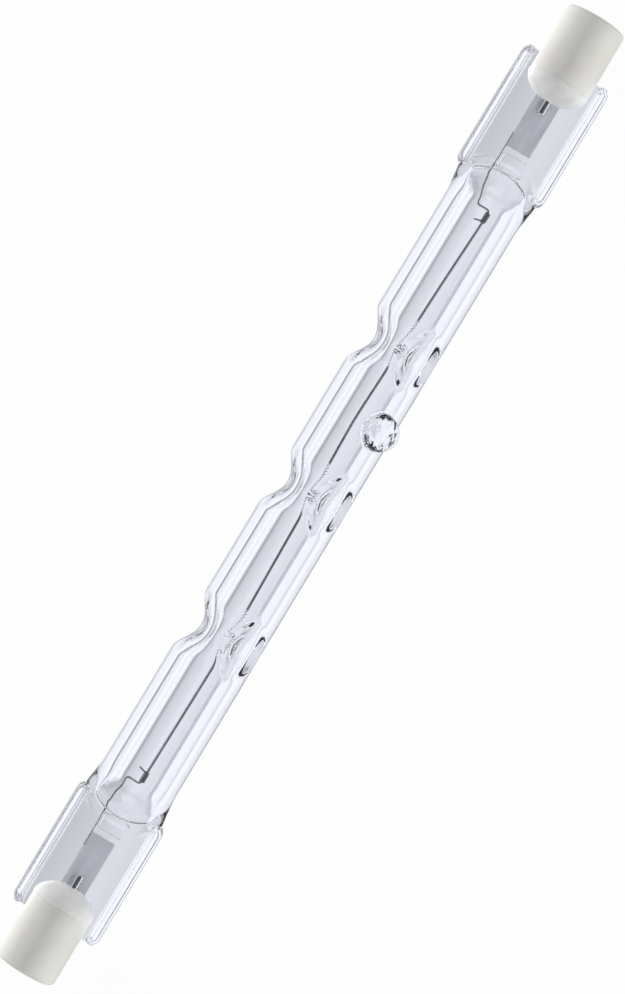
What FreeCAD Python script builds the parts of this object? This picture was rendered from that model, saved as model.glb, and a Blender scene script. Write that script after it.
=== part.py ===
import FreeCAD, Part
import math
import os

from FreeCAD import Vector

# Double-ended linear halogen bulb, sizes in millimetres and angles in degrees.
# It is drawn with its axis on X and its flat seals in the XY plane, then rolled onto the surface it lies on.

# Whole lamp
overall_length = 117.6

# Quartz tube
tube_diameter = 8.6
tube_wall = 1.2

# Pinch seals: a thin web between two thick rims
pinch_length = 14.4
web_thickness = 2.2
rim_width = 1.3
rim_height = 4.2
rim_round = 0.6
rim_draft = 12.0
pinch_corner = 1.0

# Shoulder between the round tube and the web
shoulder_slope = 42.0
shoulder_plan_radius = 6.0
shoulder_reach = 1.9
shoulder_wall = 1.25
flare_start = 3.9
flare_width = 0.55
flare_drop = 0.9

# Dimples that hold the coil, three round the tube at each station
dimple_spacing = 17.8
dimple_stations = 3
dimples_round = 3
dimple_angle = 37.0
dimple_floor = 1.6
dimple_depth = 2.0
dimple_slope = 33.0
dimple_wall = 1.4

# Tip-off nub of the exhaust tube
tip_off_place = 9.1
tip_off_diameter = 4.2
tip_off_height = 2.0
tip_off_dome = 1.3
tip_off_angle = 36.0

# Sealing foils and the flat gap between foil and bulb space
foil_width = 2.9
foil_thickness = 0.06
foil_inset = 4.1
foil_end_cover = 1.2
gap_width = 3.5
gap_thickness = 0.16
gap_to_foil = 0.7

# Lead wires
inner_lead_diameter = 0.22
inner_lead_offset = 1.4
inner_lead_overlap = 1.6
outer_lead_diameter = 0.55
outer_lead_overlap = 4.4
weld_depth = 0.03

# Coiled filament
coil_wire = 0.09
coil_offset = 0.3
coil_inset = 3.5
bend_clearance = 0.05
open_length = 1.6
open_turns = 4
straight_count = 8
open_overlap = 0.12
end_wrap_length = 1.0
tail_length = 0.7
lead_in_coil = 1.0
lead_in_coil_clearance = 0.01

# Ceramic caps
cap_diameter = 7.0
cap_length = 7.9
cap_overhang = 6.0
cap_edge_chamfer = 0.4
cap_neck_step = 0.2
cap_rim_gap = 0.45
recess_diameter = 4.4
recess_depth = 1.7

# Cement between cap and seal
cement_gap = 0.3
bead_length = 2.3
bead_overhang = 0.1

# End contacts
contact_diameter = 3.8
contact_thickness = 0.6
contact_dish_depth = 0.25
contact_dish_diameter = 3.0
contact_dish_floor = 1.4
contact_stem_diameter = 1.8

# Places that follow from the sizes
tube_radius = tube_diameter / 2
bore_radius = tube_radius - tube_wall
half_length = overall_length / 2
cap_radius = cap_diameter / 2
neck_radius = cap_radius - cap_neck_step
cap_inner_face = half_length - cap_length
pinch_end = half_length - cap_overhang
pinch_start = pinch_end - pinch_length
web_half_width = cap_radius + cap_rim_gap
pinch_half_width = web_half_width + rim_width
flare_x = pinch_start - flare_start
shoulder_foot = pinch_start + shoulder_reach
shoulder_x = shoulder_foot - shoulder_plan_radius
recess_floor = half_length - recess_depth
contact_back = recess_floor - contact_thickness
slot_end = pinch_end + cement_gap
foil_inner_end = pinch_start + foil_inset
foil_outer_end = pinch_end - foil_end_cover
inner_lead_height = foil_thickness / 2 + inner_lead_diameter / 2 - weld_depth
outer_lead_height = foil_thickness / 2 + outer_lead_diameter / 2 - weld_depth
bend_x = pinch_start - coil_inset
coil_end_x = bend_x - inner_lead_diameter / 2 - bend_clearance
dimple_angles = [dimple_angle + turn * 360.0 / dimples_round for turn in range(dimples_round)]
dimple_places = [(i - (dimple_stations - 1) / 2) * dimple_spacing for i in range(dimple_stations)]
coil_bore = inner_lead_diameter / 2 + lead_in_coil_clearance
coil_radius = coil_bore + coil_wire

# Shapes reach past a face by this much where they are cut away, so that no two faces lie in one plane
spare = 1.0

X_AXIS = Vector(1, 0, 0)
Y_AXIS = Vector(0, 1, 0)
Z_AXIS = Vector(0, 0, 1)
ORIGIN = Vector(0, 0, 0)


def rod(radius, start, end, y=0.0, z=0.0):
    """Round rod along X from start to end."""
    return Part.makeCylinder(radius, end - start, Vector(start, y, z), X_AXIS)


def block(x_range, y_range, z_range):
    """Box between pairs of limits."""
    corner = Vector(x_range[0], y_range[0], z_range[0])
    size = [limits[1] - limits[0] for limits in (x_range, y_range, z_range)]
    return Part.makeBox(size[0], size[1], size[2], corner)


def mirrored(shape):
    """The same shape at the lamp's other end."""
    return shape.mirror(ORIGIN, X_AXIS)


def both_ends(shape):
    return [shape, mirrored(shape)]


def flared_end():
    """Tube end that widens in the plane of the seal and sinks towards it, from a circle to a flat ellipse."""
    sections = []
    for share in (0.0, 0.5, 1.0):
        ease = share * share * (3 - 2 * share)
        x = flare_x + share * (shoulder_foot - flare_x)
        wide = Vector(x, tube_radius + flare_width * ease, 0)
        tall = Vector(x, 0, tube_radius - flare_drop * ease)
        sections.append(Part.Wire(Part.Ellipse(wide, tall, Vector(x, 0, 0)).toShape()))
    return Part.makeLoft(sections, True, True)


def shoulder_cone(foot_radius, foot_height, top_height):
    """Cone about a vertical axis whose flank is the slope from the tube down to the web."""
    rise = top_height - foot_height
    top_radius = foot_radius - rise / math.tan(math.radians(shoulder_slope))
    return Part.makeCone(foot_radius, top_radius, rise, Vector(shoulder_x, 0, foot_height), Z_AXIS)


def rounded_plate(low, high, half_width, corner, height):
    """Plate with round corners, from low to high along X and centred on the other two directions."""
    plate = Part.makeBox(high - low, 2 * half_width, height, Vector(low, -half_width, -height / 2))
    upright = [edge for edge in plate.Edges if edge.BoundBox.ZLength > height / 2]
    return plate.makeFillet(corner, upright)


def pinch_bar():
    """Bar of full rim height: its section has rounded edges, and so has its outline seen from its face."""
    outline = rounded_plate(pinch_start, pinch_end, pinch_half_width, pinch_corner, rim_height)
    section = rounded_plate(-rim_height / 2, rim_height / 2, pinch_half_width, rim_round, pinch_length)
    section.rotate(ORIGIN, Y_AXIS, 90)
    section.translate(Vector((pinch_start + pinch_end) / 2, 0, 0))
    return outline.common(section)


def web_pocket():
    """Hollow pressed into one face of the bar: drafted sides, and the shoulder's slope at its inner end."""
    floor = web_thickness / 2
    top = tube_radius + spare
    spread = (top - floor) * math.tan(math.radians(rim_draft))
    corners = [
        Vector(shoulder_x, -web_half_width, floor),
        Vector(shoulder_x, web_half_width, floor),
        Vector(shoulder_x, web_half_width + spread, top),
        Vector(shoulder_x, -web_half_width - spread, top),
    ]
    section = Part.Face(Part.makePolygon(corners + corners[:1]))
    prism = section.extrude(Vector(pinch_end + spare - shoulder_x, 0, 0))
    return prism.cut(shoulder_cone(shoulder_plan_radius, floor, top))


def pressing_blade(wall):
    """Blade with a flat edge and sloping flanks, as pressed across the soft tube; a wall makes it thicker."""
    slope = math.radians(dimple_slope)
    edge = tube_radius - dimple_depth - wall
    half_edge = dimple_floor / 2 + wall * math.tan(slope / 2)
    back = tube_radius + spare
    half_back = half_edge + (back - edge) / math.tan(slope)
    outline = ((-half_edge, edge), (half_edge, edge), (half_back, back), (-half_back, back))
    corners = [Vector(x, 0, z) for x, z in outline]
    section = Part.Face(Part.makePolygon(corners + corners[:1]))
    section.translate(Vector(0, -back, 0))
    return section.extrude(Vector(0, 2 * back, 0))


def dimple_set(wall):
    """The blade at every station and round the tube; the first angle is turned from the seals' face to -Y."""
    blades = []
    for x in dimple_places:
        for angle in dimple_angles:
            blade = pressing_blade(wall)
            blade.rotate(ORIGIN, X_AXIS, angle)
            blade.translate(Vector(x, 0, 0))
            blades.append(blade)
    return blades


def tip_off():
    """Stub left where the exhaust tube was melted off: a short round post with a domed end."""
    radius = tip_off_diameter / 2
    top = tube_radius + tip_off_height
    low = bore_radius + tube_wall / 2
    ball_radius = (radius * radius + tip_off_dome * tip_off_dome) / (2 * tip_off_dome)
    post = Part.makeCylinder(radius, top - low, Vector(0, 0, low), Z_AXIS)
    stub = post.common(Part.makeSphere(ball_radius, Vector(0, 0, top - ball_radius)))
    stub.rotate(ORIGIN, X_AXIS, tip_off_angle)
    stub.translate(Vector(tip_off_place, 0, 0))
    return stub


def glass_outside():
    """Outer form of the quartz: tube, flared ends, bars and tip-off, with pockets and dimples pressed in."""
    tube = rod(tube_radius, -flare_x, flare_x)
    body = tube.multiFuse(both_ends(flared_end()) + both_ends(pinch_bar()) + [tip_off()])
    pockets = []
    for pocket in both_ends(web_pocket()):
        pockets += [pocket, pocket.mirror(ORIGIN, Z_AXIS)]
    return body.cut(pockets + dimple_set(0.0))


def bulb_space():
    """Hollow of the bulb: bore, wedge-shaped ends and the gaps at the foils, less the dimples' walls."""
    foot = shoulder_plan_radius + web_thickness / 2 / math.tan(math.radians(shoulder_slope))
    foot -= shoulder_wall / math.sin(math.radians(shoulder_slope))
    wedge = shoulder_cone(foot, 0.0, bore_radius + spare)
    wedge = wedge.fuse(wedge.mirror(ORIGIN, Z_AXIS))
    hollow_end = rod(bore_radius, flare_x - spare, shoulder_x + foot).common(wedge)
    gap_end = foil_inner_end - gap_to_foil
    half_gap = (-gap_thickness / 2, gap_thickness / 2)
    gap = block((shoulder_x + foot / 2, gap_end), (-gap_width / 2, gap_width / 2), half_gap)
    space = rod(bore_radius, -flare_x, flare_x).multiFuse(both_ends(hollow_end) + both_ends(gap))
    return space.cut(dimple_set(dimple_wall))


def bent_wire(points, section):
    """Wire through the points, bent sharply at each; its section stands at the first point."""
    right_corner = 1
    return Part.makePolygon(points).makePipeShell([section], True, False, right_corner)


def inner_lead():
    """Wire from the foil into the bulb, bent square across the axis and then into the coil's end."""
    height = inner_lead_height
    points = [
        Vector(foil_inner_end + inner_lead_overlap, inner_lead_offset, height),
        Vector(bend_x, inner_lead_offset, height),
        Vector(bend_x, -coil_offset, height),
        Vector(coil_end_x - lead_in_coil, -coil_offset, height),
    ]
    section = Part.Circle(points[0], X_AXIS, inner_lead_diameter / 2)
    return bent_wire(points, Part.Wire(section.toShape()))


def outer_lead():
    """Straight wire from the foil to the stem of the contact."""
    start = foil_outer_end - outer_lead_overlap
    return rod(outer_lead_diameter / 2, start, slot_end, 0.0, outer_lead_height)


def sealing_foil(leads):
    """Thin foil in the middle of the web, with the leads sunk a little into its face by their welds."""
    half_thick = foil_thickness / 2
    half_wide = foil_width / 2
    foil = block((foil_inner_end, foil_outer_end), (-half_wide, half_wide), (-half_thick, half_thick))
    return foil.cut(leads)


def open_turns_solid():
    """Open turns along X, centred on the origin, as square wire in straights, ends sunk in the tight coil."""
    length = open_length + 2 * open_overlap
    radius = coil_radius - coil_wire / 2
    steps = open_turns * straight_count
    points = []
    for step in range(steps + 1):
        x = length * (step / steps - 0.5)
        angle = 2 * math.pi * step / straight_count
        points.append(Vector(x, radius * math.cos(angle), radius * math.sin(angle)))
    ahead = (points[1] - points[0]).normalize()
    out = Vector(0, coil_wire / 2, 0)
    side = ahead.cross(out)
    corners = [points[0] + out, points[0] + side, points[0] - out, points[0] - side]
    return bent_wire(points, Part.makePolygon(corners + corners[:1]))


def filament():
    """Coiled wire: tight stretches as rods of the coil's size, open turns through the dimple stations."""
    half_open = open_length / 2
    starts = [-coil_end_x] + [x + half_open for x in dimple_places]
    ends = [x - half_open for x in dimple_places] + [coil_end_x]
    tight = [rod(coil_radius, start, end) for start, end in zip(starts, ends)]
    turns = [open_turns_solid().translated(Vector(x, 0, 0)) for x in dimple_places]
    wrap_end = coil_end_x - end_wrap_length
    wrap = rod(coil_radius + coil_wire, wrap_end, coil_end_x)
    tail_root = Vector(wrap_end + coil_wire, coil_bore + coil_wire / 2, 0)
    tail = Part.makeCylinder(coil_wire / 2, coil_radius + tail_length - tail_root.y, tail_root, Y_AXIS)
    socket = rod(coil_bore, coil_end_x - lead_in_coil - lead_in_coil_clearance, half_length)
    coil = tight[0].multiFuse(tight[1:] + turns + both_ends(wrap) + both_ends(tail)).cut(both_ends(socket))
    coil.translate(Vector(0, -coil_offset, inner_lead_height))
    return coil


def contact_rivet():
    """Disc on the floor of the recess, and the stem behind it that reaches the slot."""
    disc = rod(contact_diameter / 2, contact_back, recess_floor)
    return disc.fuse(rod(contact_stem_diameter / 2, slot_end, contact_back))


def end_contact():
    """The rivet with a dished face; the lead is welded to the end of its stem."""
    floor = Vector(recess_floor - contact_dish_depth, 0, 0)
    dish = Part.makeCone(contact_dish_floor / 2, contact_dish_diameter / 2, contact_dish_depth, floor, X_AXIS)
    return contact_rivet().cut(dish)


def ceramic_cap():
    """Round ceramic base: slotted neck over the web, seat for the contact, and the recess in front of it."""
    body = rod(cap_radius, slot_end, half_length)
    rim = [edge for edge in body.Edges if abs(edge.CenterOfMass.x - half_length) < 1e-6 and edge.Closed]
    body = body.makeChamfer(cap_edge_chamfer, rim).fuse(rod(neck_radius, cap_inner_face, slot_end))
    recess = rod(recess_diameter / 2, recess_floor, half_length + spare)
    return body.cut([cap_slot(), recess, contact_rivet()])


def cap_slot():
    """Slot across the cap for the web of the seal and the cement on both its faces."""
    half_slot = web_thickness / 2 + cement_gap
    along = (cap_inner_face - spare, slot_end)
    return block(along, (-cap_diameter, cap_diameter), (-half_slot, half_slot))


def cap_cement(inside):
    """Cement in the slot of the cap and as a rounded bead on both faces of the web, round what is inside."""
    base = cap_radius + bead_overhang
    bead_radius = (base * base + bead_length * bead_length) / (2 * bead_length)
    centre = cap_inner_face - bead_length + bead_radius
    ball = Part.makeSphere(bead_radius, Vector(centre, 0, 0))
    wide = (-base - spare, base + spare)
    ahead = block((centre - bead_radius - spare, cap_inner_face), wide, wide)
    filling = cap_slot().common(rod(neck_radius, cap_inner_face, half_length))
    return ball.common(ahead).fuse(filling).cut(inside)


def rest_roll():
    """Roll about the axis at which a pinch rim comes down on the surface that the tube lies on."""
    across = pinch_half_width - rim_round
    above = rim_height / 2 - rim_round
    reach = math.hypot(across, above)
    return math.degrees(math.asin((tube_radius - rim_round) / reach) - math.atan2(above, across))


def build():
    """All pieces, by name, in the lamp's own frame."""
    leads = [inner_lead(), outer_lead()]
    foil = sealing_foil(leads)
    contact = end_contact()
    seals = both_ends(leads[0]) + both_ends(leads[1]) + both_ends(foil)
    envelope = glass_outside().cut([bulb_space()] + seals)
    right = {
        "inner_lead": leads[0],
        "sealing_foil": foil,
        "outer_lead": leads[1],
        "ceramic_cap": ceramic_cap(),
        "cap_cement": cap_cement([envelope, leads[1], foil]),
        "end_contact": contact,
    }
    pieces = {"quartz_envelope": envelope, "filament": filament()}
    for name, shape in right.items():
        pieces[name + "_right"] = shape
        pieces[name + "_left"] = mirrored(shape)
    return pieces


def laid_down(pieces):
    """The lamp rolled onto tube and rim, with the middle of its footprint at the origin."""
    turned = {name: shape.rotated(ORIGIN, X_AXIS, rest_roll()) for name, shape in pieces.items()}
    box = Part.makeCompound(list(turned.values())).optimalBoundingBox(False)
    shift = Vector(-box.Center.x, -box.Center.y, -box.ZMin)
    return {name: shape.translated(shift) for name, shape in turned.items()}


os.makedirs("parts", exist_ok=True)
for piece_name, piece in laid_down(build()).items():
    piece.exportStep("parts/" + piece_name + ".step")
    print(piece_name, len(piece.Solids), "solid", round(piece.Volume, 3), "mm3, valid:", piece.isValid())
print("roll", round(rest_roll(), 2))
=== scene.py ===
# %% [markdown]
# # A linear halogen bulb
# This lesson dresses a packed bulb in Blender: a clear quartz tube with pressed dimples and flat pinch
# seals, a long coiled filament, metal foils and leads in the seals, and a ceramic cap at each end. The
# solids are loaded from model.glb, and every new piece is worked out with numpy and put where the solids
# are.

import math

import bpy
import numpy as np
from mathutils import Matrix, Vector


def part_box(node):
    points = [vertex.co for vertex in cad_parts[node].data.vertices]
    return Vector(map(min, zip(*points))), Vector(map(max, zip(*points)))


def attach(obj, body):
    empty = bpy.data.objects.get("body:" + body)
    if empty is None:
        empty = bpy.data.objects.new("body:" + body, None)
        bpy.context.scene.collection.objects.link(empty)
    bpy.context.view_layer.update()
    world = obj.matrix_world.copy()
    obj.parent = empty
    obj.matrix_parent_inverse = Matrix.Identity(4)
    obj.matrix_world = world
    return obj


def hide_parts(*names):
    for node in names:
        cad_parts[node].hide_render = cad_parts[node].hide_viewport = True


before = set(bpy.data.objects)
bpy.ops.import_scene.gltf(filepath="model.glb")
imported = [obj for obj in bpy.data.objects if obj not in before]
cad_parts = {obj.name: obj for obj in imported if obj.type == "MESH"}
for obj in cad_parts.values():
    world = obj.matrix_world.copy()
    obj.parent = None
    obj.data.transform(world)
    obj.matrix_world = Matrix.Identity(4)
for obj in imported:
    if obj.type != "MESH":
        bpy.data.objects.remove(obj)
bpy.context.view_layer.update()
print("solids:", sorted(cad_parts))

# %% [markdown]
# ## The bulb's own axes
# The bulb lies rolled on the floor, so its shapes are easier to write in axes of its own, in millimetres:
# x along the tube, y across the flat seals, z out of their face. One turn about x and one shift carry
# them to the scene. The turn is the roll at which a rim of the seal touches the floor under the tube.

# %% Sizes shared by several pieces, in millimetres
MM = 0.001
tube_radius = 4.3
bore_radius = 3.1
pinch_start = 38.4
pinch_end = 52.8
pinch_half_width = 5.25
web_half_width = 3.95
half_web = 1.1
half_rim = 2.1
rim_round = 0.6

# %% From the bulb's axes to the scene
reach = math.hypot(pinch_half_width - rim_round, half_rim - rim_round)
lean = math.atan2(half_rim - rim_round, pinch_half_width - rim_round)
roll = math.asin((tube_radius - rim_round) / reach) - lean
cap_low, cap_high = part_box("ceramic_cap_right")
half_length = cap_high.x / MM
axis_place = np.array([0.0, (cap_low.y + cap_high.y) / 2, (cap_low.z + cap_high.z) / 2])
turn = np.array(Matrix.Rotation(roll, 3, "X"))


def to_scene(points):
    """Turns points about x by the roll, scales millimetres to metres, and shifts them to the tube's axis."""
    return points @ turn.T * MM + axis_place


print("roll", round(math.degrees(roll), 2), "half length", round(half_length, 2))
print("axis at", axis_place.round(5))

# %% [markdown]
# ## Meshes from arrays
# Every piece is a grid of points: rows along the bulb, columns round it. Neighbouring points make the
# faces, the last column joins the first, and each end is closed by pairing its columns left and right,
# like a zip.

# %% Mesh helpers


def grid_faces(rows, columns):
    """Quads between neighbouring points of a closed tube of rows, with both ends zipped shut."""
    row, column = np.meshgrid(np.arange(rows - 1), np.arange(columns), indexing="ij")
    after = (column + 1) % columns
    low, high = row * columns, (row + 1) * columns
    wall = np.stack([low + column, low + after, high + after, high + column], axis=-1).reshape(-1, 4)
    step = np.arange(columns // 2 - 1)
    zipped = np.stack([step, step + 1, columns - 2 - step, columns - 1 - step], axis=-1)
    last = (rows - 1) * columns
    return np.concatenate([wall, zipped[:, ::-1], zipped + last])


def join(shells):
    """Joins several (points, faces) shells into one."""
    points, faces, count = [], [], 0
    for shell_points, shell_faces in shells:
        points.append(shell_points)
        faces.append(shell_faces + count)
        count += len(shell_points)
    return np.concatenate(points), np.concatenate(faces)


def make_piece(name, shell, material, nodes, sharp=35.0):
    """Puts a shell into a mesh object, smooth except at edges sharper than the angle, riding on the root."""
    points, faces = shell
    mesh = bpy.data.meshes.new(name)
    mesh.from_pydata(to_scene(points), [], faces.tolist())
    mesh.polygons.foreach_set("use_smooth", np.ones(len(mesh.polygons), dtype=bool))
    mesh.set_sharp_from_angle(angle=math.radians(sharp))
    mesh.materials.append(material)
    piece = bpy.data.objects.new(name, mesh)
    bpy.context.scene.collection.objects.link(piece)
    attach(piece, "root")
    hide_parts(*nodes)
    print(name, len(mesh.vertices), "points", len(mesh.polygons), "faces")
    return piece


def mirrored(shell):
    """The same shell at the bulb's other end: x changes sign, and the faces turn to point out again."""
    points, faces = shell
    return points * np.array([-1.0, 1.0, 1.0]), faces[:, ::-1]


# %% [markdown]
# ## Finishes
# There are eight finishes: fused quartz, ceramic, cement, coiled tungsten, thin and stout drawn wire,
# rolled foil and nickel. Each starts from one Principled shader. What is the same all over is set on the
# shader itself, and noise in object coordinates gives the small unevenness that real surfaces have.

# %% Material helpers


def finish(name, **values):
    """Makes a Principled material with these socket values; returns it with its shader, nodes and links."""
    material = bpy.data.materials.new(name)
    material.use_nodes = True
    nodes, links = material.node_tree.nodes, material.node_tree.links
    shader = nodes["Principled BSDF"]
    for socket, value in values.items():
        shader.inputs[socket.replace("_", " ")].default_value = value
    return material, shader, nodes, links


def noise(nodes, links, scale, stretch=(1.0, 1.0, 1.0), detail=3.0):
    """Noise in object coordinates, finer or coarser along each axis by the stretch."""
    place = nodes.new("ShaderNodeTexCoord")
    mapping = nodes.new("ShaderNodeMapping")
    mapping.inputs["Scale"].default_value = stretch
    pattern = nodes.new("ShaderNodeTexNoise")
    pattern.inputs["Scale"].default_value = scale
    pattern.inputs["Detail"].default_value = detail
    links.new(place.outputs["Object"], mapping.inputs["Vector"])
    links.new(mapping.outputs["Vector"], pattern.inputs["Vector"])
    return pattern.outputs["Fac"]


def add_bump(shader, nodes, links, height, strength, distance):
    """Tilts the shading by a height pattern of this depth in metres, on top of an earlier bump if any."""
    bump = nodes.new("ShaderNodeBump")
    bump.inputs["Strength"].default_value = strength
    bump.inputs["Distance"].default_value = distance
    links.new(height, bump.inputs["Height"])
    normal = shader.inputs["Normal"]
    if normal.is_linked:
        links.new(normal.links[0].from_socket, bump.inputs["Normal"])
    links.new(bump.outputs["Normal"], normal)


def add_tint(shader, nodes, links, pattern, dark, light):
    """Runs the base colour from dark to light with a pattern."""
    ramp = nodes.new("ShaderNodeValToRGB")
    ramp.color_ramp.elements[0].position = 0.3
    ramp.color_ramp.elements[0].color = (*dark, 1.0)
    ramp.color_ramp.elements[1].position = 0.7
    ramp.color_ramp.elements[1].color = (*light, 1.0)
    links.new(pattern, ramp.inputs["Fac"])
    links.new(ramp.outputs["Color"], shader.inputs["Base Color"])


# %% The finishes
quartz_stretch = (0.08, 1.0, 1.0)
drawn_stretch = (0.1, 1.0, 1.0)
rolled_stretch = (0.15, 1.0, 1.0)

quartz, shader, nodes, links = finish(
    "fused_quartz", Base_Color=(0.972, 0.976, 0.988, 1.0), Roughness=0.0, IOR=1.458, Transmission_Weight=1.0
)
pattern = noise(nodes, links, 900.0, quartz_stretch)
add_bump(shader, nodes, links, pattern, strength=0.05, distance=0.00002)
smoke = nodes.new("ShaderNodeVolumeAbsorption")
smoke.inputs["Color"].default_value = (0.0, 0.04, 0.14, 1.0)
smoke.inputs["Density"].default_value = 30.0
links.new(smoke.outputs["Volume"], nodes["Material Output"].inputs["Volume"])

ceramic, shader, nodes, links = finish("cap_ceramic", Roughness=0.55)
pattern = noise(nodes, links, 260.0)
add_tint(shader, nodes, links, pattern, dark=(0.80, 0.785, 0.735), light=(0.85, 0.84, 0.80))
pattern = noise(nodes, links, 2600.0)
add_bump(shader, nodes, links, pattern, strength=0.25, distance=0.00003)

cement, shader, nodes, links = finish("seal_cement", Roughness=0.8)
pattern = noise(nodes, links, 900.0)
add_tint(shader, nodes, links, pattern, dark=(0.82, 0.82, 0.81), light=(0.90, 0.90, 0.895))
pattern = noise(nodes, links, 1500.0, detail=5.0)
add_bump(shader, nodes, links, pattern, strength=0.6, distance=0.0001)

tungsten, shader, nodes, links = finish("coil_tungsten", Metallic=1.0, Roughness=0.38)
pattern = noise(nodes, links, 1500.0)
add_tint(shader, nodes, links, pattern, dark=(0.13, 0.13, 0.14), light=(0.21, 0.21, 0.22))

wire, shader, nodes, links = finish("lead_wire", Metallic=1.0, Roughness=0.3)
pattern = noise(nodes, links, 3000.0, drawn_stretch)
add_tint(shader, nodes, links, pattern, dark=(0.20, 0.20, 0.21), light=(0.30, 0.30, 0.31))

stout_wire, shader, nodes, links = finish("stout_wire", Metallic=1.0, Roughness=0.3)
pattern = noise(nodes, links, 3000.0, drawn_stretch)
add_tint(shader, nodes, links, pattern, dark=(0.06, 0.06, 0.065), light=(0.11, 0.11, 0.115))

foil, shader, nodes, links = finish("rolled_foil", Metallic=0.25, Roughness=0.45)
pattern = noise(nodes, links, 1400.0, rolled_stretch)
add_tint(shader, nodes, links, pattern, dark=(0.54, 0.56, 0.61), light=(0.66, 0.68, 0.73))
pattern = noise(nodes, links, 3000.0, drawn_stretch)
add_bump(shader, nodes, links, pattern, strength=0.2, distance=0.00002)

nickel, shader, nodes, links = finish("contact_nickel", Metallic=1.0, Roughness=0.32)
pattern = noise(nodes, links, 1800.0)
add_tint(shader, nodes, links, pattern, dark=(0.55, 0.54, 0.51), light=(0.68, 0.67, 0.64))
print("finishes:", [material.name for material in bpy.data.materials])

# %% [markdown]
# ## The quartz envelope
# The real envelope is one quartz tube, softened in a flame: three dimples were pressed in round each
# station, the exhaust tube was melted off to a nub, and jaws pinched both ends flat round the foils. One
# closed outer surface and one closed inner surface make the glass. In the tube a point is a radius at an
# angle; at the ends it is a height above the middle plane. Both use the same columns, so the rows run
# through from end to end.

# %% Soft joins between forms


def soft_least(first, second, blend):
    """The smaller of two forms, with the corner where they cross rounded off by about the blend."""
    return -blend * np.logaddexp(-first / blend, -second / blend)


def soft_most(first, second, blend):
    """The larger of two forms, with the corner where they cross filled by about the blend."""
    return blend * np.logaddexp(first / blend, second / blend)


def ease(share):
    """Goes from 0 to 1 with level ends: three squares less two cubes of the share."""
    share = np.clip(share, 0.0, 1.0)
    return share * share * (3.0 - 2.0 * share)


# %% [markdown]
# Two dimples of each station are soft hollows. The third, on the camera's side, has four sides that meet
# in a blunt tip, with small ripples on them, which show as light and dark facets through the glass.

# %% Dimples
station_step = 17.8
dimple_places = np.array([-1.0, 0.0, 1.0]) * station_step
dimple_angles = np.radians([39.0, 168.0, 277.0])
facet_angle = dimple_angles[0]
facet_half_length = 3.35
facet_depth = 1.7
outer_facet_half_angle = math.radians(40.0)
bore_facet_half_angle = math.radians(46.0)
bore_extra_length = 0.2
lozenge_power = 1.4
side_steepness = 1.25
rim_blend = 0.09
tip_blend = 0.12
ripple_depth = 0.02
soft_angles = dimple_angles[1:]
soft_half_angles = np.radians([38.0, 80.0])
soft_half_length = 3.7
soft_depth = 1.75


def turned_off(angle, direction):
    """How far an angle is from a direction, round the tube the shorter way."""
    return np.arctan2(np.sin(angle - direction), np.cos(angle - direction))


def soft_dimple(along, off, depth, half_length, half_angle):
    """Depth times a squared cosine that falls to nothing at the half length and the half angle."""
    away = np.clip(np.hypot(along / half_length, off / half_angle), 0.0, 1.0)
    return depth * np.cos(away * np.pi / 2) ** 2


def facet_dimple(along, off, depth, half_length, half_angle):
    """A four-sided hollow: it deepens evenly from the edge of a lozenge, where the powers of both shares add
    up to one, until it reaches its depth in a blunt tip. Small ripples lie on its sides."""
    powers = np.abs(along / half_length) ** lozenge_power + np.abs(off / half_angle) ** lozenge_power
    share = powers ** (1.0 / lozenge_power)
    sides = soft_most(np.zeros_like(share), side_steepness * depth * (1.0 - share), rim_blend)
    hollow = soft_least(sides, np.full_like(share, depth), tip_blend)
    ripple = np.sin(6.3 * along + 0.4) * np.sin(24.0 * off + 0.9)
    return hollow + ripple_depth * ripple * np.clip(hollow, 0.0, 1.0)


def pressed(x, angle, radius, extra_length, facet_half_angle):
    """Tube radius less the dimples of every station: two soft ones, and the one with facets."""
    result = np.full(np.broadcast(x, angle).shape, radius)
    soft_length = soft_half_length + extra_length
    facet_length = facet_half_length + extra_length
    for place in dimple_places:
        along = x - place
        for direction, half_angle in zip(soft_angles, soft_half_angles):
            off = turned_off(angle, direction)
            result = result - soft_dimple(along, off, soft_depth, soft_length, half_angle)
        off = turned_off(angle, facet_angle)
        result = result - facet_dimple(along, off, facet_depth, facet_length, facet_half_angle)
    return result


# %% [markdown]
# Where the exhaust tube was melted off, a blunt nub is left. Its skin is finely wrinkled: a second bump on
# the quartz works near the nub only.

# %% Tip-off nub
nub_place = 9.35
nub_angle = math.radians(41.0)
nub_radius = 2.1
nub_height = 1.82
nub_ripple = 0.015


def nub(x, angle):
    """Height over the tube: one less the cubed distance from the middle, to the power 0.6, with ripples."""
    round_tube = tube_radius * turned_off(angle, nub_angle)
    distance = np.hypot(x - nub_place, round_tube) / nub_radius
    form = np.clip(1.0 - distance**3, 0.0, 1.0) ** 0.6
    ripple = np.sin(5.1 * (x - nub_place) + 0.6) * np.sin(4.7 * round_tube + 0.4)
    return nub_height * form * (1.0 - nub_ripple + nub_ripple * ripple)


# %% Melted skin of the nub
skin_full, skin_end = 0.0019, 0.0026
nub_out = tube_radius + nub_height / 2
nub_middle = to_scene(np.array([nub_place, -nub_out * math.sin(nub_angle), nub_out * math.cos(nub_angle)]))
nodes, links = quartz.node_tree.nodes, quartz.node_tree.links
place = nodes.new("ShaderNodeTexCoord")
distance = nodes.new("ShaderNodeVectorMath")
distance.operation = "DISTANCE"
distance.inputs[1].default_value = nub_middle
links.new(place.outputs["Object"], distance.inputs[0])
near_nub = nodes.new("ShaderNodeMapRange")
near_nub.inputs["From Min"].default_value = skin_end
near_nub.inputs["From Max"].default_value = skin_full
links.new(distance.outputs["Value"], near_nub.inputs["Value"])
wrinkles = nodes.new("ShaderNodeMath")
wrinkles.operation = "MULTIPLY"
links.new(noise(nodes, links, 1700.0, detail=2.0), wrinkles.inputs[0])
links.new(near_nub.outputs["Result"], wrinkles.inputs[1])
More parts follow.
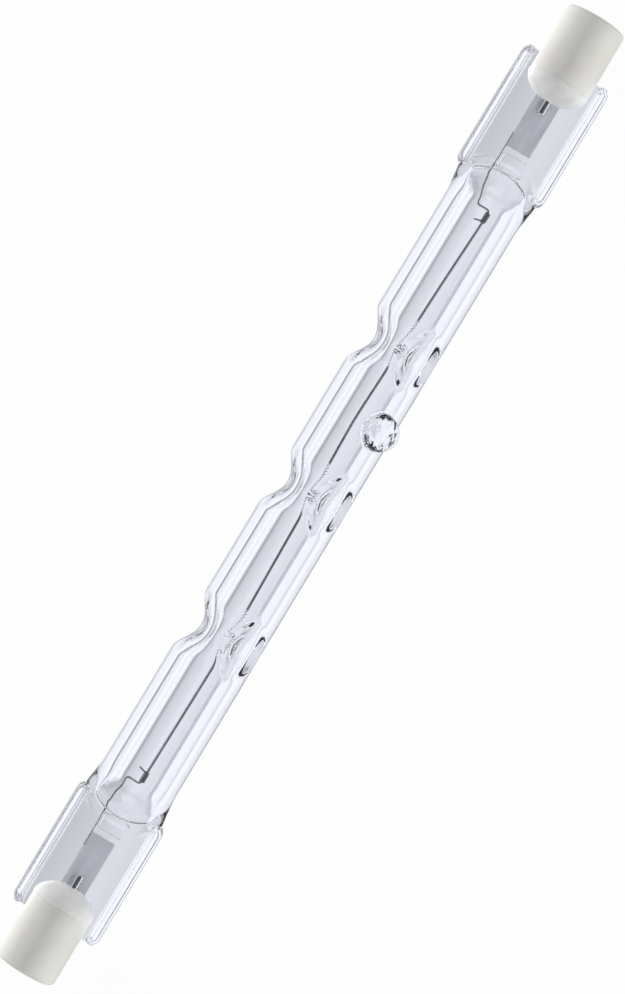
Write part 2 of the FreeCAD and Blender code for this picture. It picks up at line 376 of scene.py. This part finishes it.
add_bump(nodes["Principled BSDF"], nodes, links, wrinkles.outputs[0], strength=0.45, distance=0.0002)
print("nub at", nub_middle.round(5))

# %% [markdown]
# At each end the tube flares a little, and its shoulder falls as a cone to the thin web of the seal, which
# lies between two thick rims. A fine raised line marks the foot of the shoulder.

# %% Shoulder and pinch seal
flare_x = 34.5
flare_width = 0.55
flare_drop = 0.9
shoulder_foot = 40.3
shoulder_plan_radius = 6.0
shoulder_x = shoulder_foot - shoulder_plan_radius
shoulder_angle = math.radians(42.0)
shoulder_rise = math.tan(shoulder_angle)
shoulder_wall = 1.25
shoulder_blend = 0.25
bar_rise_length = 0.5
least_blend = 0.02
bar_blend = 0.1
pinch_corner = 1.0
rim_slope_width = 0.55
end_round = 0.3
ridge_height = 0.28
ridge_width = 0.3
spread_start = 36.0
spread_length = 2.0
spread_shares = [0.0, 0.12, 0.5, 0.55]
spread_places = [0.0, 3.75, 4.6, pinch_half_width - rim_round]
edge_share = spread_shares[-1]


def rounding(depth, radius):
    """How far a quarter round of this radius falls short of its corner, at a depth in from the edge."""
    inside = np.clip(radius - depth, 0.0, radius)
    return radius - np.sqrt(radius * radius - inside * inside)


def outline_half_width(x):
    """Half width of the glass seen from its face: the flared tube, then the bar with rounded corners."""
    flare = tube_radius + flare_width * ease((x - flare_x) / (shoulder_foot - flare_x))
    bar = pinch_half_width - rounding(x - pinch_start, pinch_corner) - rounding(pinch_end - x, pinch_corner)
    return np.where(x > pinch_start, np.maximum(flare, bar), flare)


def seal_spread(x, angle):
    """Place across the seal as a share of its half width: the angle's sine in the tube; on the bar most
    columns lie on the rims' slopes and rounds."""
    turned_share = np.abs(np.arcsin(np.sin(angle))) * 2.0 / np.pi
    edge = np.sin(np.clip((turned_share - edge_share) / (1.0 - edge_share), 0.0, 1.0) * np.pi / 2)
    flat = np.interp(turned_share, spread_shares, spread_places)
    on_bar = (flat + rim_round * edge) / pinch_half_width * np.sign(np.sin(angle))
    share = ease((x - spread_start) / spread_length)
    return (1.0 - share) * np.sin(angle) + share * on_bar


def seal_height(x, across):
    """Height of the glass above the middle plane: tube and shoulder cone, whichever is lower, joined to the
    bar's web and rims, whichever is higher."""
    share = ease((x - flare_x) / (shoulder_foot - flare_x))
    wide = tube_radius + flare_width * share
    tall = tube_radius - flare_drop * share
    tube = tall * np.sqrt(np.clip(1.0 - (across / wide) ** 2, 0.0, 1.0))
    from_foot = np.hypot(x - shoulder_x, across) - shoulder_plan_radius
    dome = soft_least(tube, half_web - from_foot * shoulder_rise, shoulder_blend)
    start = ease((x - pinch_start + bar_rise_length / 2) / bar_rise_length)
    rim = half_web + (half_rim - half_web) * ease((np.abs(across) - web_half_width) / rim_slope_width)
    rim = rim - rounding(outline_half_width(x) - np.abs(across), rim_round)
    both = soft_most(dome, start * rim, least_blend + bar_blend * start)
    ridge = ridge_height * np.exp(-((from_foot / ridge_width) ** 2)) * (np.abs(across) < web_half_width)
    height = np.where(start > 0.0, both + start * ridge, dome)
    return np.maximum(height - rounding(pinch_end - x, end_round), 0.0)


# %% [markdown]
# The space inside follows the bore. At each end it narrows with the shoulder to a wedge with a round nose.

# %% Bulb space inside
wedge_foot = shoulder_plan_radius + half_web / shoulder_rise - shoulder_wall / math.sin(shoulder_angle)
wedge_tip = shoulder_x + wedge_foot
wedge_nose = 1.1
wedge_blend = 0.12
least_plan = 1e-6


def space_half_width(x):
    """Half width of the hollow: the bore, and near its end the round plan of the wedge."""
    plan = np.sqrt(np.clip(wedge_foot**2 - np.clip(x - shoulder_x, 0.0, wedge_foot) ** 2, least_plan, None))
    return np.minimum(bore_radius, plan)


def space_height(x, across):
    """Height of the hollow above the middle plane: the bore or the wedge, whichever is lower."""
    bore = np.sqrt(np.clip(bore_radius**2 - across**2, 0.0, None))
    depth = wedge_foot - np.hypot(x - shoulder_x, across)
    short = np.clip(1.0 - depth / wedge_nose, 0.0, 1.0)
    nose = wedge_nose * shoulder_rise * np.sqrt(1.0 - short**2)
    wedge = np.where(depth < wedge_nose, nose, depth * shoulder_rise)
    return np.maximum(soft_least(bore, wedge, wedge_blend), 0.0)


# %% Rows and columns of the glass
dimple_reach = 4.6
nub_reach = 2.4
least_step = 0.03
outer_columns = 140
inner_columns = 88
end_stretches = [(flare_x, 37.8, 0.15), (37.8, 39.8, 0.07), (39.8, 42.0, 0.2), (42.0, 51.6, 0.8)]
last_stretch = 1.2
space_stretch = 5.1


def spaced(rows, least):
    """Sorted rows without those that come closer than the least step to the one before."""
    kept = [rows.min()]
    for row in np.sort(rows):
        if row - kept[-1] >= least:
            kept.append(row)
    return np.array(kept)


def tube_rows(step, dimple_step):
    """Rows along the tube: coarse on plain stretches, fine at the dimples and the nub."""
    fine = np.arange(-dimple_reach, dimple_reach, dimple_step)
    plain = np.arange(-flare_x, flare_x, step)
    nub_rows = nub_place + np.arange(-nub_reach, nub_reach, dimple_step)
    return np.concatenate([plain, nub_rows] + [place + fine for place in dimple_places])


def columns_at(count):
    """Angles round the tube, half a step off the seam plane, so the seals' sides fall between columns."""
    return (np.arange(count) + 0.5) * 2.0 * np.pi / count - np.pi / 2


def glass_shell(rows, columns, radius_of, width_of, spread_of, height_of, end):
    """A closed surface of the glass: radius times the angle's sine and cosine in the tube, and past the
    flare the half width times the spread, with the height above or below the middle plane."""
    x = rows[:, None]
    angle = columns_at(columns)[None, :]
    radius = radius_of(x, angle)
    far = np.abs(x) > flare_x
    reach = np.clip(np.abs(x), flare_x, end)
    across = width_of(reach) * spread_of(reach, angle)
    height = height_of(reach, across) * np.sign(np.cos(angle))
    y = np.where(far, -across, -radius * np.sin(angle))
    z = np.where(far, height, radius * np.cos(angle))
    points = np.stack([np.broadcast_to(x, y.shape), y, z], axis=-1).reshape(-1, 3)
    return points, grid_faces(len(rows), columns)


def inside_out(shell):
    """The same shell with its faces turned, for the wall of a hollow."""
    points, faces = shell
    return points, faces[:, ::-1]


# %% Outer and inner surface
end_rows = np.concatenate(
    [np.arange(*stretch) for stretch in end_stretches]
    + [pinch_end - last_stretch * np.linspace(1.0, 0.0, 22) ** 1.6]
)
outer_rows = np.concatenate([tube_rows(step=0.9, dimple_step=0.16), end_rows, -end_rows])
outer = glass_shell(
    spaced(outer_rows, least_step),
    outer_columns,
    lambda x, angle: nub(x, angle) + pressed(x, angle, tube_radius, 0.0, outer_facet_half_angle),
    outline_half_width,
    seal_spread,
    seal_height,
    pinch_end,
)
space_rows = wedge_tip - space_stretch * np.linspace(1.0, 0.0, 46) ** 1.3
inner_rows = np.concatenate([tube_rows(step=1.2, dimple_step=0.22), space_rows, -space_rows])
inner = glass_shell(
    spaced(inner_rows, least_step),
    inner_columns,
    lambda x, angle: pressed(x, angle, bore_radius, bore_extra_length, bore_facet_half_angle),
    space_half_width,
    lambda x, angle: np.sin(angle),
    space_height,
    wedge_tip,
)
print("glass points: outer", len(outer[0]), "inner", len(inner[0]))

# %% [markdown]
# Between the bulb space and each foil the glass doesn't wet the metal, which leaves a thin flat gap. It is
# a flat hollow of its own, with round ends, just past the tip of the wedge.

# %% Gaps at the foils
foil_start = pinch_start + 4.1
gap_start = wedge_tip + 0.1
gap_end = foil_start - 0.7
gap_middle = -0.26
gap_half_width = 1.49
half_gap = 0.3
gap_corner = 0.35
gap_fullness = 0.8


def flat_shell(start, stop, middle, half_width, half_height, rows, columns, corner, fullness=0.35):
    """A flat body from start to stop: half width less a quarter round at both ends, and a section whose
    height is a power of the cosine."""
    along = np.linspace(0.0, 1.0, rows)
    x = (start + (stop - start) * ease(along))[:, None]
    angle = columns_at(columns)[None, :]
    width = half_width - rounding(x - start, corner) - rounding(stop - x, corner)
    y = middle - width * np.sin(angle)
    z = half_height * np.sign(np.cos(angle)) * np.abs(np.cos(angle)) ** fullness
    points = np.stack(np.broadcast_arrays(x, y, z), axis=-1).reshape(-1, 3)
    return points, grid_faces(rows, columns)


gap = inside_out(
    flat_shell(gap_start, gap_end, gap_middle, gap_half_width, half_gap, 24, 40, gap_corner, gap_fullness)
)
print("gap from", round(gap_start, 2), "to", round(gap_end, 2))

# %% [markdown]
# ## Wires
# The filament is a helix of thin wire whose turns touch, apart from open turns by the dimples. It isn't
# quite straight: it sags between its supports. A round section carried along a path makes it, and the
# leads as well.

# %% Wire helper
upright = np.array([[0.0, 0.0, 1.0]])


def carried_round(path, radius, sides, outward):
    """A round section carried along a path: at each point a circle across the path's tangent, from the
    outward direction and the one square to both."""
    tangent = np.gradient(path, axis=0)
    tangent /= np.linalg.norm(tangent, axis=1, keepdims=True)
    side = np.cross(tangent, outward)
    side /= np.linalg.norm(side, axis=1, keepdims=True)
    up = np.cross(side, tangent)
    angle = columns_at(sides)[None, :, None]
    ring = side[:, None, :] * np.sin(angle) + up[:, None, :] * np.cos(angle)
    size = np.broadcast_to(radius, len(path))[:, None, None]
    points = (path[:, None, :] + size * ring).reshape(-1, 3)
    return points, grid_faces(len(path), sides)


# %% Filament
coil_end = 35.2
coil_radius = 0.13
coil_wire_radius = 0.036
coil_height = 0.11
tight_pitch = 0.1
open_pitch = 0.4
open_before = 2.0
open_after = 4.0
opening_length = 0.4
sag_places = [-35.0, -17.0, -2.0, 4.0, 9.5, 15.0, 26.0, 35.0]
sag_across = [0.37, 0.63, 0.26, 0.0, -0.16, 0.05, 0.37, 0.74]
line_points = 701
smoothing_points = 61
phase_points = 20000
wrap_length = 1.1
wrap_radius = coil_radius + 0.13
wrap_pitch = 0.15
wrap_wire_radius = 0.07
tail_inset = 0.9
tail_wire_radius = 0.085


def coil_line(x):
    """Middle line of the coil: sideways places at a few stations, joined by a smooth curve."""
    fine = np.linspace(sag_places[0], sag_places[-1], line_points)
    rough = np.interp(fine, sag_places, sag_across)
    kernel = np.hanning(smoothing_points) / np.hanning(smoothing_points).sum()
    padded = np.pad(rough, smoothing_points // 2, mode="edge")
    across = np.interp(x, fine, np.convolve(padded, kernel, mode="valid"))
    return np.stack([x, -across, np.full_like(x, coil_height)], axis=-1)


def helix(start, stop, radius, pitch_at, steps_in_turn=10):
    """Turns about the coil's line: the phase grows by a full turn each pitch, in equal steps of phase."""
    x = np.linspace(start, stop, phase_points)
    phase = np.cumsum(2.0 * np.pi / pitch_at(x)) * (x[1] - x[0])
    steps = np.arange(phase[0], phase[-1], 2.0 * np.pi / steps_in_turn)
    place = np.interp(steps, phase, x)
    outward = np.stack([np.zeros_like(steps), np.cos(steps), np.sin(steps)], axis=-1)
    return coil_line(place) + radius * outward, outward


def coil_pitch(x):
    """Wire close to wire, opened out from a little before each dimple station to a little after it."""
    off = x[:, None] - dimple_places[None, :]
    opened = ease((off + open_before) / opening_length) * ease((open_after - off) / opening_length)
    return tight_pitch + (open_pitch - tight_pitch) * opened.max(axis=1)


coil_path, coil_out = helix(-coil_end, coil_end, coil_radius, coil_pitch)
shells = [carried_round(coil_path, coil_wire_radius, 6, coil_out)]
for end in (-1.0, 1.0):
    wrap_from, wrap_to = sorted((end * (coil_end - wrap_length), end * coil_end))
    wrap_path, wrap_out = helix(wrap_from, wrap_to, wrap_radius, lambda x: np.full_like(x, wrap_pitch))
    shells.append(carried_round(wrap_path, wrap_wire_radius, 8, wrap_out))
    root = coil_line(np.array([end * (coil_end - tail_inset)]))[0]
    rise = np.linspace(0.3, 1.0, 12)[:, None]
    tail = root + rise * np.array([-0.3 * end, 1.0, 0.1])
    shells.append(carried_round(tail, tail_wire_radius, 8, upright))
make_piece("coiled_filament", join(shells), tungsten, ["filament"])

# %% Lead wires
inner_lead_radius = 0.09
inner_lead_across = 1.42
inner_lead_on_foil = 1.6
inner_lead_bend = 0.3
bend_x = 35.4
bend_across = {"left": 1.25, "right": 0.8}
outer_lead_radius = 0.275
outer_lead_height = 0.275
outer_lead_start = 47.2
outer_lead_end = 53.0
tip_start = 0.01
tip_share = 0.8


def bent_path(corners, bend, steps=10):
    """Straights between corners, with each corner rounded by a parabola from one bend's length before it to
    one after it."""
    share = np.linspace(0.0, 1.0, steps)[:, None]
    stretches = [corners[:1]]
    for before, corner, after in zip(corners[:-2], corners[1:-1], corners[2:]):
        start = corner + bend * (before - corner) / np.linalg.norm(before - corner)
        stop = corner + bend * (after - corner) / np.linalg.norm(after - corner)
        stretches.append((1 - share) ** 2 * start + 2 * share * (1 - share) * corner + share**2 * stop)
    return np.concatenate(stretches + [corners[-1:]])


def straight_wire(start, stop, y, z, radius, sides):
    """A straight wire along x whose tip is rounded off over most of its radius."""
    x = start + (stop - start) * np.linspace(0.0, 1.0, 48) ** 2
    path = np.stack([x, np.full_like(x, y), np.full_like(x, z)], axis=-1)
    size = radius - rounding(np.abs(x - start) + tip_start, radius * tip_share)
    return carried_round(path, size, sides, upright)


for side, end in (("left", -1.0), ("right", 1.0)):
    inside = coil_line(np.array([end * (coil_end - 1.0)]))[0]
    corners = np.array(
        [
            [end * (foil_start + inner_lead_on_foil), inner_lead_across, coil_height],
            [end * (wedge_tip - 0.4), inner_lead_across, coil_height],
            [end * bend_x, bend_across[side], coil_height],
            [end * bend_x, inside[1], coil_height],
            inside,
        ]
    )
    shell = carried_round(bent_path(corners, inner_lead_bend), inner_lead_radius, 12, upright)
    make_piece("inner_wire_" + side, shell, wire, ["inner_lead_" + side])
    shell = straight_wire(
        end * outer_lead_start, end * outer_lead_end, 0.0, outer_lead_height, outer_lead_radius, 20
    )
    make_piece("outer_wire_" + side, shell, stout_wire, ["outer_lead_" + side])

# %% [markdown]
# The quartz doesn't wet the wires either: each lies in a narrow hollow, whose walls mirror the light and
# give the wire bright edges. With these hollows the glass is complete.

# %% Hollows round the wires, and the finished glass
inner_hollow_radius = inner_lead_radius + 0.05
inner_hollow_start = foil_start + inner_lead_on_foil + 0.1
inner_hollow_end = wedge_tip + 0.1
outer_hollow_radius = outer_lead_radius + 0.13
outer_hollow_start = outer_lead_start - 0.2
outer_hollow_end = outer_lead_end - 2.5
inner_hollow = straight_wire(
    inner_hollow_start, inner_hollow_end, inner_lead_across, coil_height, inner_hollow_radius, 16
)
outer_hollow = straight_wire(
    outer_hollow_start, outer_hollow_end, 0.0, outer_lead_height, outer_hollow_radius, 24
)
hollows = [inside_out(inner), gap, mirrored(gap)]
for hollow in (inner_hollow, outer_hollow):
    hollows += [inside_out(hollow), inside_out(mirrored(hollow))]
bulb_shell = join([outer] + hollows)
bulb_glass = make_piece("quartz_bulb", bulb_shell, quartz, ["quartz_envelope"], sharp=60.0)
bulb_glass.visible_shadow = False

# %% [markdown]
# ## Sealing foils
# A seal is tight because the metal in it is a foil that is thinner than paper, with feathered edges. A flat
# body whose section thins out at both sides has that edge.

# %% Foils
foil_end = pinch_end - 1.2
foil_half_width = 1.45
foil_half_thickness = 0.03
foil_corner = 0.05
foil_shell = flat_shell(foil_start, foil_end, 0.0, foil_half_width, foil_half_thickness, 60, 32, foil_corner)
make_piece("foil_strip_right", foil_shell, foil, ["sealing_foil_right"], sharp=50.0)
make_piece("foil_strip_left", mirrored(foil_shell), foil, ["sealing_foil_left"], sharp=50.0)

# %% [markdown]
# ## Ceramic caps and cement
# Each cap is a turned form: a profile of distance from the axis against x, carried round. Its rounded
# edges come from quarter rounds in the profile. The cement swells out of its inner end as a soft, slightly
# lumpy dome.

# %% Turned forms


def turned(profile, columns):
    """A profile of (x, radius) carried round the bulb's axis, with the first and last points on the axis."""
    angle = columns_at(columns)[None, :]
    x = np.broadcast_to(profile[:, :1], (len(profile), columns))
    radius = profile[:, 1:]
    points = np.stack([x, -radius * np.sin(angle), radius * np.cos(angle)], axis=-1)
    return points.reshape(-1, 3), grid_faces(len(profile), columns)


def quarter(centre, radius, start, steps=8):
    """Quarter circle in the profile, from a start angle in degrees, turning towards smaller angles."""
    angle = np.radians(np.linspace(start, start - 90.0, steps))
    return np.stack([centre[0] + radius * np.cos(angle), centre[1] + radius * np.sin(angle)], axis=-1)


# %% Caps
cap_radius = 3.5
cap_face = half_length - 7.9
recess_radius = 2.2
recess_floor = half_length - 1.7
seat_radius = 1.9
seat_floor = recess_floor - 0.6
face_round = 0.25
end_edge_round = 0.45
recess_round = 0.2
axis_hole = 0.001
cap_profile = np.concatenate(
    [
        [[cap_face, axis_hole]],
        quarter((cap_face + face_round, cap_radius - face_round), face_round, 180.0),
        quarter((half_length - end_edge_round, cap_radius - end_edge_round), end_edge_round, 90.0),
        quarter((half_length - recess_round, recess_radius + recess_round), recess_round, 0.0),
        [[recess_floor, recess_radius], [recess_floor, seat_radius], [seat_floor, seat_radius]],
        [[seat_floor, axis_hole]],
    ]
)
cap_shell = turned(cap_profile, 96)
make_piece("ceramic_base_right", cap_shell, ceramic, ["ceramic_cap_right"])
make_piece("ceramic_base_left", mirrored(cap_shell), ceramic, ["ceramic_cap_left"])

# %% Cement
bead_reach = 2.3
bead_radius = 3.55
bead_overlap = 0.05
bead_back_radius = 3.2
lump_height = 0.08
bead_steps = np.radians(np.linspace(0.0, 90.0, 28))
bead_x = cap_face + bead_overlap - (bead_reach + bead_overlap) * np.cos(bead_steps)
bead_profile = np.stack([bead_x, bead_radius * np.sin(bead_steps) + axis_hole], axis=-1)
bead_back = [[cap_face + 0.3, bead_back_radius], [cap_face + 0.4, axis_hole]]
bead_points, bead_faces = turned(np.concatenate([bead_profile, bead_back]), 96)
lumps = np.sin(2.1 * bead_points[:, 1] + 1.0) * np.sin(1.7 * bead_points[:, 2] + 0.5)
bead_points[:, 0] += lump_height * lumps * np.clip((cap_face - bead_points[:, 0]) / bead_reach, 0.0, 1.0)
bead_shell = (bead_points, bead_faces)
make_piece("cement_bead_right", bead_shell, cement, ["cap_cement_right"])
make_piece("cement_bead_left", mirrored(bead_shell), cement, ["cap_cement_left"])

# %% [markdown]
# ## Contacts
# The dished contacts at the bottom of the caps' recesses have the right shape already, so the solids stay
# and only get a better finish.

# %% Contact finish
for side in ("left", "right"):
    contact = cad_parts["end_contact_" + side]
    contact.data.materials.clear()
    contact.data.materials.append(nickel)
print("contacts finished")

# %% [markdown]
# ## Studio
# The bulb lies on a white floor between two soft lights, one on each long side, which leave a darker
# stripe towards the camera on the caps. A narrow light draws a bright line on the glass, and two small ones
# reach the ends. Clear glass has almost no colour of its own: it shows what lies behind it. The photograph
# was cut out on white, so what stood behind that glass is unknown. Here the floor carries painted strips of
# grey shade along the bulb, a painted shadow of the bulb, which only rays that have passed through the glass
# see, and which give the tube and seals their grey middles and thin lines. Far behind the bulb, the floor
# that these rays see is painted darker, and in mirror images the floor next to the bulb shows a painted
# dark shadow. For the camera the floor glows, so that it comes out white. The glass itself casts no shadow
# on it.

# %% Painted shades of the floor
camera_glow = 0.97
matt_white = (0.9, 0.9, 0.9, 1.0)
cool_shares = np.array([0.98, 1.0, 1.07])
shade_from, shade_to = -0.007, 0.011
tube_until, seal_from = 0.036, 0.041
# Painted shadow of the bulb on the floor, seen only through the glass: grey levels across it, for the tube
# and for the seals.
tube_painted_shade_stops = [
    (-7.0, 0.8), (-4.9, 0.8), (-4.5, 1.1), (-0.5, 1.1), (-0.2, 0.53), (0.05, 0.56), (0.35, 0.8), (0.9, 0.88),
    (3.0, 0.94), (4.0, 0.83), (5.0, 0.73), (5.25, 0.68), (5.5, 0.46), (5.9, 0.46), (6.15, 1.05), (11.0, 1.1),
]
seal_painted_shade_stops = [
    (-7.0, 1.15), (-1.9, 1.15), (-1.7, 0.75), (0.5, 0.81),
    (3.0, 0.73), (5.5, 0.66), (7.65, 0.61), (7.95, 1.15),
]
# Painted shadow: a dark patch on the floor next to the bulb, seen only in mirror images.
painted_shadow_in_gloss_stops = [(-7.0, 0.9), (-6.0, 0.3), (10.0, 0.3), (11.0, 0.9)]
# Near each dimple station the painted dark line next to the tube is painted lighter, in this colour.
station_full, station_end = 0.0032, 0.0046
stations_until, stations_end = 0.025, 0.026
line_place, line_reach = -0.0001, 0.0006
station_painted_line_colour = (0.84, 0.86, 0.92, 1.0)
# Painted shade: far behind the bulb the floor seen through the glass is painted darker, down to this level.
painted_far_from, painted_far_full, painted_far_level = 0.05, 0.08, 0.3

# %% Floor material
floor_material = bpy.data.materials.new("studio_floor")
floor_material.use_nodes = True
nodes, links = floor_material.node_tree.nodes, floor_material.node_tree.links
nodes.clear()


def floor_node(kind, **inputs):
    """A node of the floor's material with its numbered inputs set or linked."""
    node = nodes.new(kind)
    for name, value in inputs.items():
        socket = node.inputs[int(name[1:])]
        if isinstance(value, bpy.types.NodeSocket):
            links.new(value, socket)
        else:
            socket.default_value = value
    return node


def floor_math(operation, **inputs):
    """What a maths node of the floor's material works out from its numbered inputs."""
    node = floor_node("ShaderNodeMath", **inputs)
    node.operation = operation
    return node.outputs[0]


def floor_range(value, start, stop, first=0.0, last=1.0):
    """Runs from first to last while a value goes from start to stop, and stays level before and after."""
    return floor_node("ShaderNodeMapRange", _0=value, _1=start, _2=stop, _3=first, _4=last).outputs[0]


def floor_mix(kind, share, first, second):
    """Mixes two colours or two shaders of the floor's material by a share."""
    return floor_node(kind, _0=share, _1=first, _2=second).outputs[0]


def shade_ramp(across, stops):
    """Strips of painted shade along the bulb: slightly blue grey levels at places across it, in millimetres.
    """
    ramp = floor_node("ShaderNodeValToRGB", _0=across)
    elements = ramp.color_ramp.elements
    places, levels = zip(*stops)
    positions = (np.array(places) * MM - shade_from) / (shade_to - shade_from)
    for position in positions[1:-1]:
        elements.new(position)
    for element, position, level in zip(elements, positions, levels):
        element.position = position
        element.color = (*(level * cool_shares), 1.0)
    return ramp.outputs["Color"]


# Painted shade: the strips of painted shadow under the tube, and under the seals past the shoulders.
place = nodes.new("ShaderNodeTexCoord")
parts = floor_node("ShaderNodeSeparateXYZ", _0=place.outputs["Object"])
floor_y = parts.outputs["Y"]
along = floor_math("ABSOLUTE", _0=parts.outputs["X"])
across = floor_range(floor_y, shade_from, shade_to)
at_seal = floor_range(along, tube_until, seal_from)
tube_shade = shade_ramp(across, tube_painted_shade_stops)
strips = floor_mix("ShaderNodeMixRGB", at_seal, tube_shade, shade_ramp(across, seal_painted_shade_stops))

# Near the stations the painted dark line of the painted shade is painted lighter.
to_station = floor_math("PINGPONG", _0=along, _1=station_step * MM / 2)
at_station = floor_range(to_station, station_full, station_end, 1.0, 0.0)
on_tube = floor_range(along, stations_until, stations_end, 1.0, 0.0)
near_line = floor_math("COMPARE", _0=floor_y, _1=line_place, _2=line_reach)
on_line = floor_math("MULTIPLY", _0=at_station, _1=near_line)
station_painted_line_share = floor_math("MULTIPLY", _0=on_line, _1=on_tube)
shade = floor_mix("ShaderNodeMixRGB", station_painted_line_share, strips, station_painted_line_colour)

path = nodes.new("ShaderNodeLightPath")
glow_share = floor_math("MULTIPLY", _0=path.outputs["Is Camera Ray"], _1=camera_glow)
matt = floor_node("ShaderNodeBsdfDiffuse", _0=matt_white).outputs[0]
glow = floor_node("ShaderNodeEmission", _1=1.0).outputs[0]
plain = floor_mix("ShaderNodeMixShader", glow_share, matt, glow)
# Mirror images of the floor show the painted shadow next to the bulb.
in_gloss = floor_node("ShaderNodeEmission", _0=shade_ramp(across, painted_shadow_in_gloss_stops)).outputs[0]
glossed = floor_mix("ShaderNodeMixShader", path.outputs["Is Glossy Ray"], plain, in_gloss)
# Painted shade: the floor seen through the glass is painted darker far behind the bulb.
painted_far_darkening = floor_range(floor_y, painted_far_from, painted_far_full, 1.0, painted_far_level)
# Rays that have passed through the glass see the painted shade instead of the white floor.
painted_shade_through_glass = floor_node("ShaderNodeEmission", _0=shade, _1=painted_far_darkening).outputs[0]
both = floor_mix("ShaderNodeMixShader", path.outputs["Is Transmission Ray"], glossed, painted_shade_through_glass)
floor_node("ShaderNodeOutputMaterial", _0=both)

# %% Floor
floor_size = 1.5
floor_mesh = bpy.data.meshes.new("studio_floor")
floor_corners = np.array([[-1, -1, 0], [1, -1, 0], [1, 1, 0], [-1, 1, 0]]) * floor_size / 2
floor_mesh.from_pydata(floor_corners.tolist(), [], [[0, 1, 2, 3]])
floor_mesh.materials.append(floor_material)
floor = bpy.data.objects.new("studio_floor", floor_mesh)
bpy.context.scene.collection.objects.link(floor)
print("floor nodes:", len(nodes))

# %% Lights and surroundings
surroundings_seen = 0.55
surroundings_lighting = 0.1


def softbox(name, place, size, watts, mirrored_in_gloss=True):
    """A soft light at a place, turned to the bulb, which may stay out of mirror images."""
    data = bpy.data.lights.new(name, "AREA")
    data.shape = "RECTANGLE"
    data.size, data.size_y = size
    data.energy = watts
    lamp = bpy.data.objects.new(name, data)
    bpy.context.scene.collection.objects.link(lamp)
    lamp.location = place
    lamp.rotation_mode = "QUATERNION"
    lamp.rotation_quaternion = (-Vector(place)).to_track_quat("-Z", "Y")
    lamp.visible_glossy = mirrored_in_gloss
    lamp.visible_transmission = mirrored_in_gloss


softbox("far_light", (0.0, 0.56, 0.3), (0.9, 0.16), 4.9, mirrored_in_gloss=False)
softbox("stripe_light", (0.0, 0.4, 0.5), (0.9, 0.05), 0.55)
softbox("near_light", (0.0, -0.6, 0.035), (0.9, 0.06), 2.8, mirrored_in_gloss=False)
softbox("left_light", (-0.5, -0.1, 0.2), (0.25, 0.2), 0.25)
softbox("right_light", (0.5, -0.1, 0.2), (0.25, 0.2), 0.25)
world = bpy.data.worlds.new("studio_surroundings")
world.use_nodes = True
backdrop = world.node_tree.nodes["Background"]
backdrop.inputs["Color"].default_value = (0.97, 0.98, 1.0, 1.0)
path = world.node_tree.nodes.new("ShaderNodeLightPath")
level = world.node_tree.nodes.new("ShaderNodeMapRange")
level.inputs["To Min"].default_value = surroundings_seen
level.inputs["To Max"].default_value = surroundings_lighting
world.node_tree.links.new(path.outputs["Is Diffuse Ray"], level.inputs["Value"])
world.node_tree.links.new(level.outputs["Result"], backdrop.inputs["Strength"])
bpy.context.scene.world = world
bpy.context.scene.view_settings.view_transform = "Standard"
print("lights:", [lamp.name for lamp in bpy.data.lights])

# %% [markdown]
# ## Camera
# The photograph looks straight down on the face of the seals from about a third of a metre, with the bulb
# running from the lower left to the upper right. So the camera stands off along the bulb's own z, turned
# about that line.

# %% Camera
bulb_up_in_image = math.radians(58.9)
camera_distance = 0.36
image_long_side = 994
pixels_in_metre = 9420.0
middle_right_px, middle_up_px = -2.0, 2.2

along = Vector((1.0, 0.0, 0.0))
across = -Vector(turn[:, 1])
back = Vector(turn[:, 2])
right = math.cos(bulb_up_in_image) * along + math.sin(bulb_up_in_image) * across
up = math.sin(bulb_up_in_image) * along - math.cos(bulb_up_in_image) * across
aim = Vector(axis_place) - (middle_right_px * right + middle_up_px * up) / pixels_in_metre

camera_data = bpy.data.cameras.new("photo_camera")
camera_data.sensor_width = 36.0
camera_data.lens = pixels_in_metre * camera_distance * camera_data.sensor_width / image_long_side
camera_data.clip_start = 0.01
camera = bpy.data.objects.new("photo_camera", camera_data)
bpy.context.scene.collection.objects.link(camera)
stance = Matrix((right, up, back)).transposed().to_4x4()
camera.matrix_world = Matrix.Translation(aim + camera_distance * back) @ stance
bpy.context.scene.camera = camera
print("lens", round(camera_data.lens, 1), "mm, camera at", [round(v, 3) for v in camera.location])
